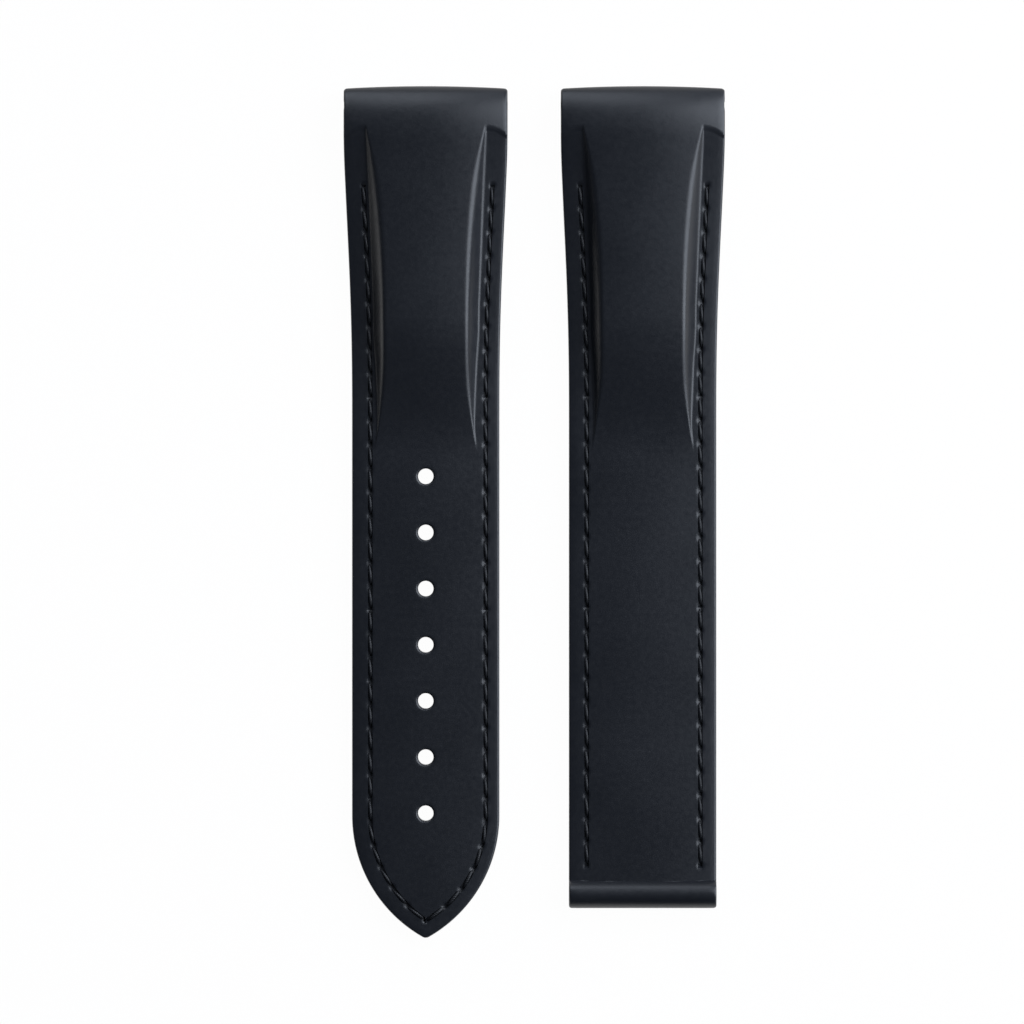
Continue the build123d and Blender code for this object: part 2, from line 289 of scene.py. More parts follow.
halves = [
    make_half("long", -13.25, 104.0, True, 1.95, 0.28, (23.653, 51.07, 78.51), (9, 18)),
    make_half("short", 13.25, 100.4, False, 2.06, 0.1, (23.562, 49.352, 75.141), (9, 18)),
]
for half in halves:
    print(half.name, half.stitches, "stitches of", round(half.pitch, 3), "mm a row, cut at",
          [round(cut, 2) for cut in half.splits])

# %% [markdown]
# ## The rules of the shape
# A moulded strap is a few curves that run its whole length. Seen from above, the sides draw
# in from the lugs to the band. Seen from the side, the raised middle stays high and then
# slopes down, while the sewn margins beside it sink sooner. A flank joins the two, and its
# crest and foot are rounded. Writing these as formulas keeps every part of the strap in
# step, where sculpting would drift from the CAD model.

# %% Write the outline and the heights
def half_width(reach):
    """Half the width of a half at a reach, with the round corners of the lug end."""
    along = held((reach - size.taper_start) / (size.taper_end - size.taper_start))
    side = size.band_half + (size.lug_half - size.band_half) * (1 - along) ** 3 * (1 + 3 * along)
    corner = size.nose_corner
    return side - corner + root(corner**2 - most(corner - reach, 0.0) ** 2)


def crown_height(reach, s=size):
    """Height of the raised middle on its centre line."""
    fall = s.pad_fall * held((reach - s.nose_reach) / (s.pad_slope_reach - s.nose_reach))
    slope = eased((reach - s.pad_slope_reach) / (s.pad_end_reach - s.pad_slope_reach))
    return s.band_thickness + (s.lug_thickness - fall - s.band_thickness) * (1.0 - slope)


def ledge_height(reach, s=size):
    """Height of the sewn margins."""
    share = held((reach - s.shoulder_reach) / (s.ledge_end_reach - s.shoulder_reach))
    drop = s.lug_thickness - s.shoulder_drop - s.band_thickness
    return s.band_thickness + drop * (1.0 - share) ** s.ledge_fall_power


def crest_half_width(reach, s=size):
    """Half width of the raised middle at its crest: wide, then waisted, then wider."""
    flare = held(1.0 - (reach - s.crest_start) / s.crest_flare)
    spread = held(1.0 - (s.pad_end_reach - reach) / s.crest_spread)
    return (
        s.crest_waist
        + (s.crest_lug - s.crest_waist) * flare * flare * flare
        + (s.crest_end - s.crest_waist) * spread * spread
    )


def flank_slope(reach, s=size):
    """How steep the flank is between its crest and its foot, which runs straight."""
    along = held((reach - s.foot_start) / (s.foot_stop - s.foot_start))
    foot = s.foot_lug + (s.foot_end - s.foot_lug) * along
    step = most(crown_height(reach, s) - ledge_height(reach, s), 0.0)
    return least(step / most(foot - crest_half_width(reach, s), 0.1), s.flank_slope)


def shoulder_line(across, s=size):
    """The reach at which the lug block ends, which is further along at the sides."""
    out = held((across - s.shoulder_half) / (s.lug_half - s.shoulder_half))
    return s.shoulder_reach + (s.shoulder_side_reach - s.shoulder_reach) * out**s.shoulder_power


# %% [markdown]
# The upper surface is the raised middle, lowered past its flank and past the lug block, and
# rounded into the nose. At the clasp end a round bead stands above it. The inner face leaves
# room for the layers inside, and closes on the lining where they end. A change that comes
# AT_ONCE takes a hundredth of a millimetre.

# %% Write the upper surface
AT_ONCE = 100.0


def bead_profile(reach, s=size):
    """How high the round bead at the clasp end stands above its own middle."""
    from_bead = least(size_of(reach - s.bead_reach), s.bead_radius)
    return root(s.bead_radius**2 - from_bead * from_bead)


def dome(height, across, s=size):
    """How far the surface has fallen off towards the sides, more so where it is high."""
    raised = held((height - s.band_thickness) / (s.lug_thickness - s.band_thickness))
    out = across / s.lug_half
    return (s.band_dome + (s.lug_dome - s.band_dome) * raised) * out * out


def top_height(reach, across, s=size):
    """Height of the cover's outer surface, before its seam and its edges are worked in."""
    crown, ledge = crown_height(reach, s), ledge_height(reach, s)
    crest = crest_half_width(reach, s)
    crown = crown - dome(crown, across, s)
    ledge = ledge - dome(s.band_thickness, across, s)
    past_flank = (across - crest) * flank_slope(reach, s)
    past_shoulder = (reach - shoulder_line(across, s)) * s.shoulder_slope
    step = most(crown - ledge, 0.0)
    # The small additions keep both roundings above 0, because a soft corner divides by them.
    rounding = least(step * s.crest_share + 0.01, s.crest_softness)
    fallen = soft_most(least(past_flank, past_shoulder), 0.0, rounding)
    fallen = soft_least(fallen, step, least(step, s.foot_softness) + 0.001)
    nose = held((s.nose_reach - reach) / s.nose_reach)
    lifted = s.nose_height + (crown - most(fallen, 0.0) - s.nose_height) * root(1.0 - nose * nose)
    beyond = held((reach - s.bead_reach) * AT_ONCE)
    rounded = s.bead_radius + bead_profile(reach, s)
    before = soft_most(lifted, rounded, s.bead_softness)
    return before + (rounded - before) * beyond


# %% Write the lower faces
def underside(reach, s=size):
    """Height of the lowest surface: the wrist face, and how both ends curl up from it."""
    nose = held((s.nose_under_reach - reach) / s.nose_under_reach)
    past = most(reach - s.bead_reach, 0.0)
    curl = s.bead_radius - root(s.bead_radius**2 - past * past)
    return s.nose_height * (1.0 - root(1.0 - nose * nose)) + curl


def cover_floor(reach, across, s=size):
    """Height of the cover's inner face: on the lining, and over the tape and the padding."""
    tape_top = s.lining_thickness + s.tape_thickness
    over_tape = s.tape_thickness * within(s.tape_half, across, s.room_slope)
    over_tape = over_tape * within(s.tape_last, reach, s.room_slope)
    over_tape = over_tape * held((reach - s.tape_first) / s.room_slope)
    pad_room = crown_height(reach, s) - s.cover_wall - tape_top
    pad_side = crest_half_width(reach, s) - s.flank_wall - across
    pad_side = pad_side * flank_slope(reach, s) + pad_room
    pad_ends = held((s.pad_last - reach) / s.room_slope)
    inside = most(least(pad_room, pad_side), 0.0) * pad_ends
    core_room = (s.core_top - tape_top) * within(s.core_half, across, s.core_slope)
    inside = inside + (core_room - inside) * within(s.core_last, reach, s.room_slope)
    inside = inside * held((reach - s.core_first) / s.room_slope)
    return most(s.lining_thickness + over_tape + inside, underside(reach, s))


print("crown, ledge and band heights at a reach of 20 mm:",
      [round(float(v), 2) for v in (crown_height(20.0), ledge_height(20.0), size.band_thickness)])

# %% [markdown]
# ## A flat plan of each half
# A skin that bends well is a neat grid: rows that cross the strap, and columns that keep
# their distance from its edge. So the sewn channel, which also keeps its distance from the
# edge, always lies along columns and comes out clean, right round the pointed tail. The plan
# is flat. Each of its points only notes where it belongs, and a node tree lifts it later.

# %% Place the columns
EDGE_STEPS = [math.radians(18.0 * k) for k in range(6)]
HOLE_HALF = 1.8
HOLE_STEP = 0.45
HOLE_COLUMNS = [1.8, 1.35, 0.9, 0.45, 0.0]
FAR = 10.0
FLANK_LEAD = 0.7
FLANK_COLUMNS = 14
MARGIN_COLUMNS = 5


def seam_inset_at(half, side, turn):
    """How far the seam of one side is from the outline. Both sides meet midway at the tip."""
    tip_turn = math.acos(size.tail_offset / (size.tail_radius - half.seam_inset))
    fade = 1 - min(turn / tip_turn, 1) ** 2
    return half.seam_inset - side * half.seam_aside * fade


def edge_columns(seam_inset, radius):
    """Inset, drop and depth of the columns from the margin over the round edge to the wall."""
    rounded = [(radius * (1 - math.cos(t)), radius * (1 - math.sin(t))) for t in EDGE_STEPS]
    between = np.linspace(LAST_INSET, seam_inset + SEAM_COLUMNS[-1], MARGIN_COLUMNS)[:-1]
    columns = [(inset, 0.0, 0.0) for inset in between.tolist()]
    columns += [(seam_inset + beside, 0.0, 0.0) for beside in reversed(SEAM_COLUMNS)]
    columns += [(inset, drop, 0.0) for inset, drop in reversed(rounded)]
    return columns


def margin_point(half, row, inset):
    """A point at a distance from the outline: its x, its reach and that distance."""
    turn, fan = row
    if fan:
        radius = max(size.tip_radius - inset, 0.0)
        reach = half.closing + TAIL_TIP + radius * math.sin(turn)
        return radius * math.cos(turn), reach, min(inset, size.tip_radius)
    inset = min(inset, size.tail_radius - size.tail_offset / math.cos(turn))
    radius = size.tail_radius - inset
    reach = half.closing + radius * math.sin(turn)
    return radius * math.cos(turn) - size.tail_offset, reach, inset


def shoulder_shift(across, reach):
    """How far a row is pushed along at the sides, to follow the edge of the lug block."""
    out = min(max((across - size.shoulder_half) / (size.lug_half - size.shoulder_half), 0), 1)
    most_shift = size.shoulder_side_reach - size.shoulder_reach
    fade = np.interp(reach, [0.5, size.shoulder_reach, size.shoulder_fade], [0.0, 1.0, 0.0])
    return most_shift * out**size.shoulder_power * fade


# %% Work out one row
CLOSE = 1e-4
HOLE_TURN = math.asin(
    (HOLE_HALF + TAIL_REACH - size.hole_tip_distance) / (size.tail_radius - LAST_INSET)
)


def row_width(half, reach):
    """Half the width at a reach, with the small round corners of the clasp end."""
    width = float(half_width(reach))
    if half.pointed:
        return width
    corner = size.bead_corner
    past = max(reach - (half.length - corner), 0.0)
    return width - corner + math.sqrt(max(corner**2 - past**2, 0.0))


def row_points(half, row, edge, right):
    """The points of one row on one side, from the middle to the edge and back."""
    reach, tail = row
    points = []
    seam_inset = seam_inset_at(half, right, tail[0] if tail else 0.0)
    if tail is None:
        side = row_width(half, reach)
        inner = side - LAST_INSET
    else:
        inner, reach, _ = margin_point(half, tail, LAST_INSET)
    crest = max(float(crest_half_width(reach)) - FLANK_LEAD, HOLE_HALF + 0.5)
    full = size.band_half - LAST_INSET
    near = inner / full if tail and tail[0] > HOLE_TURN + CLOSE else 1.0
    flank = np.linspace(min(crest, full) * near, inner, FLANK_COLUMNS)
    core = np.linspace(HOLE_HALF * near, flank[0], 6)[1:-1]
    middle = [x * near for x in reversed(HOLE_COLUMNS)] + list(core) + list(flank[:-1])
    for x in middle:
        points.append((x, reach, FAR, FAR, reach - size.seam_start, 0.0, 0.0))
    for inset, drop, depth in edge_columns(seam_inset, edge):
        if tail is None:
            x, at, kept = side - inset, reach, inset
            along = reach - size.seam_start
        else:
            x, at, kept = margin_point(half, tail, inset)
            turn = tail[0] * (size.tail_radius - half.seam_inset)
            along = half.closing - size.seam_start + turn
        points.append((x, at, kept, kept - seam_inset, along, drop, depth))
    if tail is None and reach < size.shoulder_fade:
        points = [(p[0], p[1] + shoulder_shift(p[0], reach), *p[2:]) for p in points]
    drop = points[-1][5]
    walls = [(*points[-1][:5], drop * 0.5, 0.5), (*points[-1][:5], 0.0, 0.94)]
    floor = [(*p[:5], 0.0, 1.0) for p in reversed(points)]
    return points + walls + floor


# %% [markdown]
# The rows lie close where the surface turns fast, as on the nose, on the bead and round the
# shoulder, and further apart on the band. Each cut and each hole has rows of its own. In the
# tail the rows turn with the outline, and at its tip they fan out from one point.

# %% Choose the rows
LINING_START, LINING_END_DROP = 0.509, 0.258
FINE_STEP, ROW_STEP = 0.25, 0.29
NOSE_TURNS = [math.radians(3 * k) for k in range(31)]
BEAD_TURNS = [math.radians(t) for t in [*range(-67, 91, 5), 90]]
CREASE_ROWS = (-0.25, -0.1, 0.0, 0.08)
CREASE_START = -0.4


def filled(marks, step):
    """The marks, with even steps between each two."""
    places = [marks[0]]
    for a, b in zip(marks, marks[1:]):
        count = max(1, math.ceil((b - a) / step - 1e-6))
        places += [a + (b - a) * k / count for k in range(1, count + 1)]
    return places


def rows_of(half):
    """Every row of a half from the lug end to the tip: its reach, and its turn in the tail."""
    fade = size.shoulder_fade
    nose = [size.nose_reach * (1 - math.cos(turn)) for turn in NOSE_TURNS]
    rows = [(reach, None) for reach in sorted(nose + [LINING_START])]
    rows += [(reach, None) for reach in filled([size.nose_reach, fade], FINE_STEP)[1:]]
    if not half.pointed:
        seam_end = half.length - size.seam_end_distance
        crease = half.bead_reach - size.bead_radius
        marks = [fade, half.splits[0], size.pad_end_reach, half.splits[1], seam_end]
        rows += [(reach, None) for reach in filled([*marks, crease + CREASE_START], ROW_STEP)[1:]]
        rows += [(crease + past, None) for past in CREASE_ROWS]
        bead = {round(half.bead_reach + size.bead_radius * math.sin(t), 5) for t in BEAD_TURNS}
        bead |= {half.length - LINING_END_DROP, half.length}
        return rows + [(reach, None) for reach in sorted(bead)]
    marks = [fade, half.splits[0], size.pad_end_reach]
    for hole in half.holes:
        marks += [hole - HOLE_HALF, hole + HOLE_HALF]
    marks = sorted(marks + [half.splits[1], half.closing])
    plain = [reach for reach in filled(marks, ROW_STEP)
             if all(abs(reach - hole) > HOLE_HALF - 1e-6 for hole in half.holes)]
    squares = [hole - HOLE_HALF + HOLE_STEP * k for hole in half.holes for k in range(1, 8)]
    reaches = sorted({round(reach, 6) for reach in plain[1:] + squares})
    for reach in reaches:
        past = (reach - half.closing) / (size.tail_radius - LAST_INSET)
        rows.append((reach, (math.asin(past), False) if past > 0 else None))
    closing_turn = math.acos(size.tail_offset / (size.tail_radius - LAST_INSET))
    end_turn = math.acos(size.tail_offset / (size.tail_radius - size.tip_radius))
    turns = np.linspace(HOLE_TURN, closing_turn, 52)[1:].tolist()
    turns += np.linspace(closing_turn, end_turn, 9)[1:].tolist()
    rows += [(NEVER, (turn, False)) for turn in turns]
    rows += [(NEVER, (turn, True)) for turn in np.linspace(end_turn, math.pi / 2, 7)[1:]]
    return rows


for half in halves:
    half.rows = rows_of(half)
    half.sizes = SimpleNamespace(**{**vars(size), "seam_length": half.seam_length})
    gap = size.tape_tail_gap if half.pointed else size.tape_clasp_gap
    half.sizes.tape_last = half.length - gap
    if not half.pointed:
        half.sizes.bead_reach = half.bead_reach
    print(half.name, "has", len(half.rows), "rows of",
          2 * len(row_points(half, half.rows[9], size.edge_radius, 1)) - 2, "points")

# %% [markdown]
# Round an adjusting hole the grid gives way to rings. The square of the grid round the hole
# is left out, and rings lead from that square to the round rim, over the moulded bevel and
# down the wall of the hole. Because the rings are part of the same mesh, the rim can be as
# smooth as the photograph shows it, which a hole cut by a Boolean rarely is.

# %% Collect points and faces
NOTES = ("reach", "inset", "beside", "along", "drop", "depth")


class Plan:
    """Collects points and faces, and keeps one point where several fall together."""

    def __init__(self):
        self.points, self.faces, self.found = [], [], {}

    def point(self, x, y, *notes):
        key = (round(x, 4), round(y, 4), *(round(note, 4) for note in notes[-2:]))
        if key not in self.found:
            self.found[key] = len(self.points)
            self.points.append((x, y, *notes))
        return self.found[key]

    def face(self, *corners):
        corners = list(dict.fromkeys(corners))
        if len(corners) > 2:
            self.faces.append(corners)

    def mesh(self, name):
        mesh = bpy.data.meshes.new(name)
        mesh.from_pydata([(p[0], p[1], 0.0) for p in self.points], [], self.faces)
        for number, note in enumerate(NOTES, start=2):
            layer = mesh.attributes.new(note, "FLOAT", "POINT")
            layer.data.foreach_set("value", [p[number] for p in self.points])
        return mesh


# %% Ring a hole
RING_SIDES = 32


def hole_rings(rim):
    """Radius, drop and depth of the rings, from the face over the rim and down the wall."""
    rings = [(1.5, 0.0, 0.0), (size.hole_radius + rim, 0.0, 0.0)]
    for k in range(1, 5):
        t = math.radians(22.5 * k)
        rings.append((size.hole_radius + rim * (1 - math.sin(t)), rim * (1 - math.cos(t)), 0.0))
    return rings + [(size.hole_radius, 0.0, 0.5), (size.hole_radius, 0.0, 1.0), (1.4, 0.0, 1.0)]


def add_hole(plan, half, hole, rim):
    """Joins the two squares that the grid leaves out round a hole by rings of faces."""
    side = [-HOLE_HALF + HOLE_STEP * k for k in range(RING_SIDES // 4)]
    square = [(HOLE_HALF, v) for v in side] + [(-v, HOLE_HALF) for v in side]
    square += [(-HOLE_HALF, -v) for v in side] + [(v, -HOLE_HALF) for v in side]

    def note(x, v, drop, depth):
        reach = hole + v
        return plan.point(x, -reach, reach, FAR, FAR, reach - size.seam_start, drop, depth)

    rings = [[note(x, v, 0.0, 0.0) for x, v in square]]
    for radius, drop, depth in hole_rings(rim):
        turns = [math.radians(-45 + 360 / RING_SIDES * k) for k in range(RING_SIDES)]
        rings.append([note(radius * math.cos(t), radius * math.sin(t), drop, depth)
                      for t in turns])
    rings.append([note(x, v, 0.0, 1.0) for x, v in square])
    for one, other in zip(rings, rings[1:]):
        for k in range(RING_SIDES):
            plan.face(one[k], one[k - 1], other[k - 1], other[k])


print("a hole takes", len(hole_rings(size.hole_rim)) + 1, "rings of", RING_SIDES, "faces")

# %% Join the rows into a plan
def plan_of(half, first, last, edge, rim, ends):
    """The plan of one length of a half: a tube of faces, closed at its cut ends."""
    plan, loops = Plan(), []
    rows = [row for row in half.rows if first - CLOSE <= row[0] <= last + CLOSE]
    for row in rows:
        right, left = row_points(half, row, edge, 1), row_points(half, row, edge, -1)
        shut = row[1] is None and min(abs(row[0] - end) for end in ends) < CLOSE
        loop = []
        for sign, side in ((1, right), (-1, left[-2:0:-1])):
            for x, reach, *notes in side:
                fade = max(1 - reach / size.shoulder_reach, 0.0)
                y = -reach - size.nose_bow * (x / size.lug_half) ** 2 * fade
                notes = [*notes[:-2], 0.0, 0.0] if shut else notes
                loop.append(plan.point(sign * x, y, reach, *notes))
        loops.append(loop)
    count = len(loops[0])
    for a, b in zip(loops, loops[1:]):
        for k in range(count):
            corners = (a[k], a[k - 1], b[k - 1], b[k])
            middle = sum(plan.points[c][2] for c in corners) / 4
            beside = max(abs(plan.points[c][0]) for c in corners) < HOLE_HALF + 0.01
            if beside and any(abs(middle - hole) < HOLE_HALF for hole in half.holes):
                continue
            plan.face(*corners)
    for loop, row in ((loops[0], rows[0]), (loops[-1], rows[-1])):
        if min(abs(row[0] - cut) for cut in half.splits) < CLOSE:
            add_cap(plan, loop, len(loop) // 2 + 1)
    for hole in half.holes:
        if first < hole < last:
            add_hole(plan, half, hole, rim)
    return plan


def add_cap(plan, loop, right_count):
    """Closes a cut end by faces between its outer and its inner line of points."""
    lines = (right_count - 2) // 2
    for side in (loop[:right_count], [loop[0]] + loop[:right_count - 2:-1]):
        for k in range(lines - 1):
            plan.face(side[k], side[k + 1], side[-2 - k], side[-1 - k])
        plan.face(side[lines - 1], side[lines], side[lines + 1], side[lines + 2])


# %% [markdown]
# ## Finishes
# All the rubber of this strap is the same near-black compound with a cool tint. What tells
# it from plain black is small: a fine moulded grain, a slow drift in tone and in gloss, and
# edges that are a little glossier and painted lighter, a painted sheen. Each finish below is a
# sum of noises that feeds only colour, roughness and bump.

# %% Start a finish
def new_finish(name):
    """A material with an empty board, and its Object coordinates."""
    material = bpy.data.materials.new(name)
    material.use_nodes = True
    material.node_tree.nodes.clear()
    board = Board(material.node_tree)
    return material, board, board.term("ShaderNodeTexCoord", output=3)


def noise(board, place, scale, detail=2.0, roughness=0.5):
    """A soft random field from 0 to 1. The scale counts its features in a metre."""
    inputs = {"Vector": place, "Scale": scale, "Detail": detail, "Roughness": roughness}
    return board.term("ShaderNodeTexNoise", {"noise_dimensions": "3D"}, inputs)


def cell_pattern(board, place, scale):
    """Distance to the nearest of many scattered points, for pores and pebbled texture."""
    inputs = {"Vector": place, "Scale": scale}
    return board.term("ShaderNodeTexVoronoi", {"feature": "F1"}, inputs)


def tinted(board, factor, first, second):
    """A colour between two, mixed by a factor. Each is three numbers or a Term."""
    first, second = (c if isinstance(c, Term) else (*c, 1.0) for c in (first, second))
    inputs = {0: factor, 6: first, 7: second}
    return board.term("ShaderNodeMix", {"data_type": "RGBA"}, inputs, output=2)


def bumped(board, height, strength, depth):
    """The bump of a height field. The depth is in metres."""
    inputs = {"Height": height, "Strength": strength, "Distance": depth}
    return board.term("ShaderNodeBump", None, inputs)


def note_of(board, name):
    """A note that the mesh carries, such as the distance from the outline."""
    return board.term("ShaderNodeAttribute", {"attribute_name": name}, output=2)


def surface(board, colour, roughness, normal, specular=0.5, metallic=0.0):
    """The shader and the output. What is the same all over is set on the shader itself."""
    inputs = {"Base Color": colour, "Roughness": roughness, "Normal": normal,
              "Specular IOR Level": specular, "Metallic": metallic}
    shader = board.term("ShaderNodeBsdfPrincipled", None, inputs)
    board.add("ShaderNodeOutputMaterial", None, {"Surface": shader})


# %% Make the cover's rubber
def cover_rubber():
    """Moulded rubber: a fine grain, a slow drift in tone, and glossier edges with a painted sheen.
    """
    material, board, place = new_finish("cover_rubber")
    drift = noise(board, place, 90.0, 3.0)
    grain = noise(board, place, 5200.0, 2.0, 0.6)
    pores = noise(board, place, 1700.0, 2.0)
    # The last 0.6 mm before the outline is painted lighter in colour: a painted sheen on the edges.
    edge = 1.0 - held(note_of(board, "inset") / 0.6)
    tone = held(drift * 0.7 + grain * 0.3 + edge * 0.35)
    colour = tinted(board, tone, (0.0054, 0.0064, 0.0088), (0.0098, 0.0112, 0.0150))
    roughness = held(0.35 + (drift - 0.5) * 0.12 + (pores - 0.5) * 0.16 - edge * 0.04)
    normal = bumped(board, grain * 0.5 + pores * 0.5, 0.35, 0.00003)
    surface(board, colour, roughness, normal)
    return material


# %% Make the lining's rubber
def lining_rubber():
    """The sheet on the wrist face: duller, with the fine texture that keeps it from sticking."""
    material, board, place = new_finish("lining_rubber")
    drift = noise(board, place, 70.0, 3.0)
    cells = cell_pattern(board, place, 2600.0)
    grain = noise(board, place, 6000.0, 2.0)
    colour = tinted(board, drift, (0.0100, 0.0108, 0.0135), (0.0155, 0.0165, 0.0200))
    roughness = held(0.6 + (drift - 0.5) * 0.1 + (grain - 0.5) * 0.1)
    normal = bumped(board, cells * 0.7 + grain * 0.3, 0.4, 0.00004)
    surface(board, colour, roughness, normal, 0.45)
    return material


finishes = {"cover": cover_rubber(), "lining": lining_rubber()}
print("finishes:", ", ".join(sorted(finishes)))

# %% [markdown]
# ## Skins that follow the rules
# One node tree turns a plan into a moulded skin. It reads the notes of each point, works out
# the height of the outer and of the inner face there, and sets the point between them. The
# same Python functions that gave the heights in numbers write these nodes, because they are
# handed Terms instead of numbers. Sculpting or a displacement picture could give a similar
# form, but not one that stays true to the sizes.

# %% Open a tree with named sizes
def open_tree(name, sizes):
    """A geometry tree with an input for each size, and what hands the sizes to it."""
    tree = bpy.data.node_groups.new(name, "GeometryNodeTree")
    tree.is_modifier = True
    make = tree.interface.new_socket
    make("Geometry", in_out="OUTPUT", socket_type="NodeSocketGeometry")
    make("Geometry", in_out="INPUT", socket_type="NodeSocketGeometry")
    make("Finish", in_out="INPUT", socket_type="NodeSocketMaterial")
    identifiers = {}
    for key, value in sizes.items():
        label = key.replace("_", " ").capitalize()
        socket = make(label, in_out="INPUT", socket_type="NodeSocketFloat")
        socket.default_value = value
        identifiers[key] = socket.identifier
    board = Board(tree)
    entry = board.add("NodeGroupInput")
    given = {key: Term(board, entry.outputs[2 + k]) for k, key in enumerate(sizes)}
    shape, finish = Term(board, entry.outputs[0]), Term(board, entry.outputs[1])
    return board, SimpleNamespace(**given), shape, finish, identifiers


def close_tree(board, shape, finish):
    """Ends a tree with real geometry that carries its finish."""
    real = board.term("GeometryNodeRealizeInstances", None, {0: shape})
    inputs = {"Geometry": real, "Material": finish}
    dressed = board.term("GeometryNodeSetMaterial", None, inputs)
    board.add("NodeGroupOutput", None, {0: dressed})


def noted(board, name):
    """A note of the mesh, read in a geometry tree."""
    return board.term("GeometryNodeInputNamedAttribute", {"data_type": "FLOAT"}, {"Name": name})


# %% Write the seam's groove
def groove_share(beside, along, s):
    """How deep the sewn groove is at a point, as a share of its full depth."""
    across = held((s.groove_half - size_of(beside)) / s.groove_wall)
    ends = held(along * 10.0 + 1.0) * held((s.seam_length - along) * 10.0 + 1.0)
    return across * ends


def to_needle_hole(along, s):
    """How far a point of the seam is from the nearest needle hole."""
    steps = along / s.pitch
    nearest = steps.math("ROUND", steps) if isinstance(steps, Term) else np.round(steps)
    return size_of(steps - nearest) * s.pitch


def pinch_share(beside, along, s):
    """How far the thread pulls the rubber in round its needle holes, as a share."""
    off = beside / (s.groove_half * 1.9)
    near = to_needle_hole(along, s) / s.pinch_half
    far = off * off + near * near
    ends = held(along / 0.6 + 1.0) * held((s.seam_length - along) / 0.6 + 1.0)
    return most(1.0 - far, 0.0) ** 1.5 * ends


def cover_faces(s, reach, across, beside, along):
    """Heights of the outer and the inner face of the cover."""
    sunk = s.groove_depth * groove_share(beside, along, s)
    sunk = sunk + s.pinch_depth * pinch_share(beside, along, s)
    return top_height(reach, across, s) - sunk, cover_floor(reach, across, s)


def lining_faces(s, reach, across, beside, along):
    """Heights of the outer and the inner face of the lining."""
    sunk = s.under_groove_depth * groove_share(beside, along, s)
    return underside(reach, s) + sunk, s.lining_thickness + 0.0


# %% Build a skin's tree
def skin_tree(name, faces, sizes):
    """A tree that lifts a plan to the heights that a rule gives."""
    board, s, shape, finish, identifiers = open_tree(name, sizes)
    x, y, _ = board.split(board.term("GeometryNodeInputPosition"))
    reach, _, beside, along, drop, depth = (noted(board, note) for note in NOTES)
    outer, inner = faces(s, reach, size_of(x), beside, along)
    room = size_of(outer - inner)
    z = outer + (inner - outer) * depth + drop * held(room / (2.0 * s.edge)) * s.facing
    inputs = {0: (x + s.aside) * MM, 1: (y + LUG_Y) * MM, 2: z * MM}
    lifted = board.term("ShaderNodeCombineXYZ", None, inputs)
    moved = board.term("GeometryNodeSetPosition", None, {"Geometry": shape, "Position": lifted})
    close_tree(board, moved, finish)
    return board.tree, identifiers


def sizes_for(half, edge, facing):
    """The sizes that a skin's tree takes for one half."""
    extra = {"pitch": half.pitch, "aside": half.aside, "edge": edge, "facing": facing}
    return {**vars(half.sizes), **extra}


trees = {
    "cover": skin_tree("Cover skin", cover_faces, sizes_for(halves[0], size.edge_radius, -1.0)),
    "lining": skin_tree("Lining skin", lining_faces,
                        sizes_for(halves[0], size.under_edge_radius, 1.0)),
}
for key, (tree, identifiers) in trees.items():
    print(key, "tree:", len(tree.nodes), "nodes,", len(identifiers), "named sizes")


# %% Turn a tree's result into a plain mesh
SHARP_FROM = math.radians(35.0)


def shown(mesh, name):
    """An object of a mesh, linked to the scene."""
    piece = bpy.data.objects.new(name, mesh)
    bpy.context.scene.collection.objects.link(piece)
    return piece


def built(name, points, faces):
    """An object of points and faces, in metres."""
    mesh = bpy.data.meshes.new(name)
    mesh.from_pydata(points, [], faces)
    return shown(mesh, name)


def as_plain_mesh(piece):
    """Puts what the modifiers of a piece make in the place of its mesh."""
    graph = bpy.context.evaluated_depsgraph_get()
    mesh = bpy.data.meshes.new_from_object(piece.evaluated_get(graph), depsgraph=graph)
    piece.modifiers.clear()
    old, piece.data = piece.data, mesh
    bpy.data.meshes.remove(old)
    return piece


def grown(piece, tree, identifiers, values, finish):
    """Runs a geometry tree on a piece, with its sizes set before it is first evaluated."""
    modifier = piece.modifiers.new("Shape", "NODES")
    modifier.node_group = tree
    for item in tree.interface.items_tree:
        if item.name == "Finish":
            modifier[item.identifier] = finish
    for key, identifier in identifiers.items():
        modifier[identifier] = float(values[key])
    return as_plain_mesh(piece)


def tidied(piece):
    """Merges doubles, turns faces outward and smooths all but the sharp edges."""
    sheet = bmesh.new()
    sheet.from_mesh(piece.data)
    bmesh.ops.remove_doubles(sheet, verts=sheet.verts, dist=0.000002)
    bmesh.ops.dissolve_degenerate(sheet, dist=0.0000005, edges=sheet.edges)
    bmesh.ops.recalc_face_normals(sheet, faces=sheet.faces)
    for face in sheet.faces:
        face.smooth = True
    for edge in sheet.edges:
        edge.smooth = len(edge.link_faces) == 2 and edge.calc_face_angle() < SHARP_FROM
    open_edges = sum(1 for edge in sheet.edges if len(edge.link_faces) != 2)
    sheet.to_mesh(piece.data)
    sheet.free()
    print(piece.name, len(piece.data.polygons), "faces,", open_edges, "open edges")


# %% [markdown]
# A long piece of rubber has to bend at three places. Each layer is made in three lengths
# that touch between two of these flex lines, in the middle of a stretch. Their cut ends are
# closed and lie face to face, so no line shows.

# %% Dress the three lengths
LENGTHS = ("first", "second", "third")


def bend(piece):
    """Bakes the transform of a length of the strap into its mesh."""
    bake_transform(piece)


def dress(piece, half, number, layer, drills=()):
    """Smooths and drills a piece, hides the CAD nodes that it stands in for, and bakes its
    transform.
    """
    tidied(piece)
    if drills:
        carve(piece, drills)
        tidied(piece)
    stretches = (("lug", "upper"), ("middle",), ("end",))[number]
    nodes = [f"{half.name}_{layer}_{s}" for s in stretches]
    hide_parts(*[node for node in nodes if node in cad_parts])
    bend(piece)


